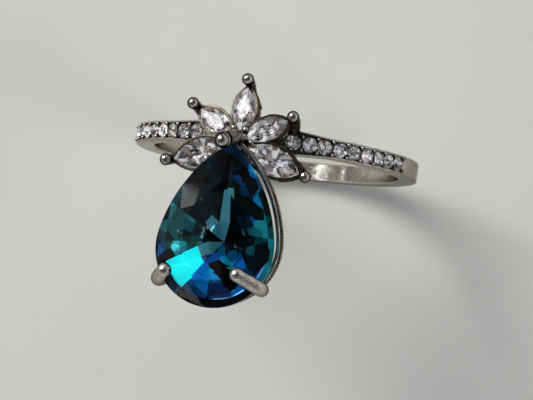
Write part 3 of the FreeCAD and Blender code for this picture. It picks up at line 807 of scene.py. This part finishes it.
def band_part(k, size):
    """The material of one strip of the section: 1 inside the band, 2 in the stone channel, 0 elsewhere."""
    if size - 5 <= k <= size - 1:
        return 1
    if 5 <= k <= 10:
        return 2
    return 0


def band_blank(inner, outer):
    """The band swept round the finger, before its stone seats are drilled."""
    bm = bmesh.new()
    ends = {side: channel_end(side) for side in (-1, 1)}
    rings = []
    for index in range(BAND_STEPS):
        angle = 2 * math.pi * index / BAND_STEPS
        direction = Vector((math.sin(angle), 0, math.cos(angle)))
        signed = (angle + math.pi) % (2 * math.pi) - math.pi
        last = ends[1 if signed > 0 else -1]
        fade = min((last + CHANNEL_MARGIN - abs(signed)) / CHANNEL_FADE, 1.0)
        sink = CHANNEL_DEPTH * max(0.0, fade)
        half = shank_half_width(outer * direction.x, direction.z)
        profile = band_profile(half, inner, outer, sink)
        rings.append([bm.verts.new(direction * r + Vector((0, y, 0))) for y, r in profile])
    size = len(rings[0])
    for ring, after in zip(rings, rings[1:] + rings[:1]):
        for k in range(size):
            other = (k + 1) % size
            face = bm.faces.new((ring[k], ring[other], after[other], after[k]))
            face.material_index = band_part(k, size)
    return mesh_from(bm, "shank_band")


def seat_drills(outer):
    """A slightly flared drill for the seat of every shoulder stone."""
    drills = bmesh.new()
    for name in [n for n in nodes if n.startswith("pave_stone_")]:
        up = main_normal(name)
        place = radial_frame(up).to_4x4()
        place.translation = up * (outer - 0.1 * MM)
        bmesh.ops.create_cone(drills, cap_ends=True, segments=32, radius1=0.42 * MM, radius2=0.47 * MM,
                              depth=1.0 * MM, matrix=place)
    return mesh_from(drills, "drills")


def build_shank():
    """The band: rounded outside, eased inside, with drilled seats in a channel on both shoulders."""
    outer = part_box("shank")[1].x
    inner = frame["record"]["mounts"][0]["dims"]["r_mm"] * MM
    blank = bpy.data.objects.new("shank_blank", band_blank(inner, outer))
    drill = bpy.data.objects.new("drills", seat_drills(outer))
    for obj in (blank, drill):
        scene.collection.objects.link(obj)
    boolean = blank.modifiers.new("seats", "BOOLEAN")
    boolean.operation = "DIFFERENCE"
    boolean.object = drill
    boolean.solver = "EXACT"
    depsgraph = bpy.context.evaluated_depsgraph_get()
    final = bpy.data.meshes.new_from_object(blank.evaluated_get(depsgraph))
    for obj in (blank, drill):
        bpy.data.objects.remove(obj)
    final.name = "shank_band"
    final.materials.clear()
    new_piece("shank_band", final, "shank", [band_metal, worn_shaded_inside, aged_and_shaded], smooth=True)
    final.set_sharp_from_angle(angle=math.radians(40))


def build_castings():
    """The claws, bars, rings, posts and cups, each cast from its own solid."""
    for side in ("left", "right"):
        cast_piece("claw_" + side, satin, 0.03 * MM, 4)
        cast_piece("basket_strut_" + side, aged_and_shaded, 0.035 * MM, 1)
    cast_piece("pear_base_rail", aged_and_shaded, 0.04 * MM, 2)
    cast_piece("head_base", aged_and_shaded, 0.06 * MM, 3)
    cast_piece("centre_post", [polished, band_metal], 0.03 * MM, 4, CENTRE_SHINE)
    cast_piece("hub_beads", polished, 0.025 * MM, 3)
    for name in sorted(nodes):
        if name.startswith("collet_"):
            # collets take the very dark finish with painted shade
            cast_piece(name, tarnish_and_deep_shade, 0.03 * MM, 2)
        if name.startswith("post_"):
            cast_piece(name, [polished, aged_and_shaded], 0.025 * MM, 3, BALL_SHINE)


pear_shape = build_pear()
build_marquises()
build_pave()
build_beads("pave_beads_left")
build_beads("pave_beads_right")
build_shank()
build_rails(pear_shape)
build_castings()


# ---------------------------------------------------------------- floor, light, camera

def build_floor():
    """A plain pale floor at the foot of the band."""
    lowest = cad_box[0].z
    mesh = bpy.data.meshes.new("floor")
    corners = [(-1, -1), (1, -1), (1, 1), (-1, 1)]
    mesh.from_pydata([(x * FLOOR_REACH, y * FLOOR_REACH, lowest) for x, y in corners], [], [(0, 1, 2, 3)])
    obj = bpy.data.objects.new("floor", mesh)
    scene.collection.objects.link(obj)
    material, tree, shader = principled("pale_floor")
    grain = noise_between(tree, 60, 3, 0.0, 1.0)
    tree.links.new(mix_colour(tree, grain, (0.60, 0.605, 0.585, 1), (0.63, 0.635, 0.61, 1)),
                   shader.inputs["Base Color"])
    shader.inputs["Roughness"].default_value = 0.8
    mesh.materials.append(material)


def area_light(name, place, aim, size, power, colour):
    """A soft rectangular light that points at a place."""
    data = bpy.data.lights.new(name, "AREA")
    data.shape = "RECTANGLE"
    data.size, data.size_y = size
    data.energy = power
    data.color = colour
    obj = bpy.data.objects.new(name, data)
    scene.collection.objects.link(obj)
    obj.location = place
    obj.rotation_euler = (Vector(aim) - Vector(place)).to_track_quat("-Z", "Y").to_euler()
    return obj


def build_light():
    """A pale room, dim overhead, with small low lamps in it, one large window and a soft fill."""
    world = bpy.data.worlds.new("studio")
    world.use_nodes = True
    scene.world = world
    tree = world.node_tree
    background = tree.nodes["Background"]
    coords = tree.nodes.new("ShaderNodeTexCoord")
    split = tree.nodes.new("ShaderNodeSeparateXYZ")
    tree.links.new(coords.outputs["Generated"], split.inputs[0])
    ramp = tree.nodes.new("ShaderNodeValToRGB")
    tree.links.new(map_range(tree, split.outputs["Z"], (-1, 1)), ramp.inputs["Fac"])
    ramp.color_ramp.elements[0].position = 0.0
    ramp.color_ramp.elements[0].color = (0.40, 0.40, 0.39, 1)
    ramp.color_ramp.elements[1].position = 1.0
    ramp.color_ramp.elements[1].color = (0.035, 0.035, 0.04, 1)
    for position, value in ((0.5, 0.42), (0.62, 0.30), (0.8, 0.10)):
        element = ramp.color_ramp.elements.new(position)
        element.color = (value, value * 0.99, value * 0.97, 1)
    patches = noise(tree, 9.0, 1.0, "Generated", 0.5)
    bright = map_range(tree, patches, (0.66, 0.69), (0.0, 4.0))
    not_overhead = map_range(tree, split.outputs["Z"], (0.62, 0.54))
    total = tree.nodes.new("ShaderNodeVectorMath")
    total.operation = "ADD"
    tree.links.new(ramp.outputs["Color"], total.inputs[0])
    tree.links.new(math_node(tree, "MULTIPLY", bright, not_overhead), total.inputs[1])
    tree.links.new(total.outputs[0], background.inputs["Color"])
    background.inputs["Strength"].default_value = 1.0
    area_light("window", (-0.16, 0.14, 0.22), (0, 0, 0.01), (0.17, 0.17), 0.88, (1.0, 0.99, 0.97))
    fill = area_light("fill", (0.24, -0.10, 0.20), (0.03, -0.02, 0), (0.14, 0.14), 0.34, (0.95, 0.97, 1.0))
    fill.visible_glossy = False


def build_camera():
    """Looks down on the head, a little from its right and from below it, rolled a little."""
    lean_right = math.radians(12.18)
    lean_down = math.radians(5.60)
    roll = math.radians(8.11)
    distance = 156.6 * MM
    back = Vector((math.sin(lean_right) * math.cos(lean_down), -math.sin(lean_down),
                   math.cos(lean_right) * math.cos(lean_down)))
    right = Vector((0, 1, 0)).cross(back).normalized()
    up = back.cross(right)
    turned_right = right * math.cos(roll) + up * math.sin(roll)
    turned_up = up * math.cos(roll) - right * math.sin(roll)
    place = back * distance
    aim = turned_right * (-0.766 * MM) + turned_up * (-3.177 * MM)
    back = (place - aim).normalized()
    right = turned_up.cross(back).normalized()
    up = back.cross(right)
    data = bpy.data.cameras.new("camera")
    data.sensor_width = 36
    data.lens = 150.16
    data.clip_start = 0.01
    data.clip_end = 5
    camera = bpy.data.objects.new("camera", data)
    scene.collection.objects.link(camera)
    camera.matrix_world = Matrix.Translation(place) @ Matrix((right, up, back)).transposed().to_4x4()
    scene.camera = camera


build_floor()
build_light()
build_camera()
scene.view_settings.view_transform = "Standard"
